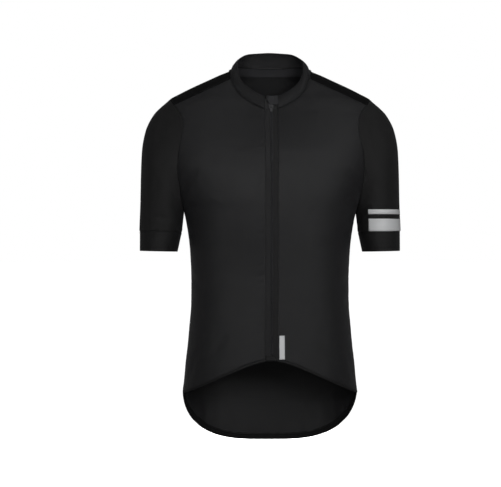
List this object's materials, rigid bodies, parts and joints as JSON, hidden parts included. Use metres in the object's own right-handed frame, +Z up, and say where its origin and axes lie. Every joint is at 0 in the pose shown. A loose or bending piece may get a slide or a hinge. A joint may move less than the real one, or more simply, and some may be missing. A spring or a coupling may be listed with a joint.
{
  "type": "cycling jersey",
  "caption": "Short-sleeved black cycling jersey with a full front zip, stand collar, drop tail and rear pockets, filled out as worn.",
  "frame": {"origin": "in the middle of the neck opening, level with the shoulder-neck points, where the wearer's neck and shoulders carry it", "axes": "+Z up, -Y out of the front with the zip, +X to the wearer's left"},
  "size_m": [0.4963, 0.2363, 0.7513],
  "materials": {
    "body_knit": "fine black stretch knit with a soft sheen",
    "yoke_knit": "matt deep black stretch knit",
    "sleeve_knit": "smooth black stretch knit",
    "collar_knit": "black rib-faced knit, slightly lighter",
    "elastic_band": "black elastic band with fine ribs",
    "zip_tape": "woven black zip tape and nylon coil",
    "zip_metal": "satin black painted metal",
    "reflective_film": "white reflective film on fabric"
  },
  "bodies": {
    "root": {"front_left": "body_knit", "front_right": "body_knit", "hem_front_left": "elastic_band", "hem_front_right": "elastic_band", "back": "body_knit", "hem_back": "elastic_band", "yoke_left": "yoke_knit", "yoke_right": "yoke_knit", "sleeve_left": "sleeve_knit", "sleeve_right": "sleeve_knit", "cuff_left": "elastic_band", "cuff_right": "elastic_band", "hoop_narrow": "reflective_film", "hoop_wide": "reflective_film", "collar": "collar_knit", "zip_tape_left": "zip_tape", "zip_tape_right": "zip_tape", "zip_stop": "elastic_band", "zip_slider": "zip_metal", "zip_garage": "collar_knit", "pocket_left": "body_knit", "pocket_centre": "body_knit", "pocket_right": "body_knit", "hem_strip": "reflective_film"},
    "pull_tab": {"zip_pull": "zip_metal"}
  },
  "joints": [
    {"name": "pull_swing", "type": "hinge", "parent": "root", "child": "pull_tab", "pos_m": [0, -0.07101, -0.07059], "axis": [-1, 0, 0], "range_deg": [0, 100]}
  ]
}
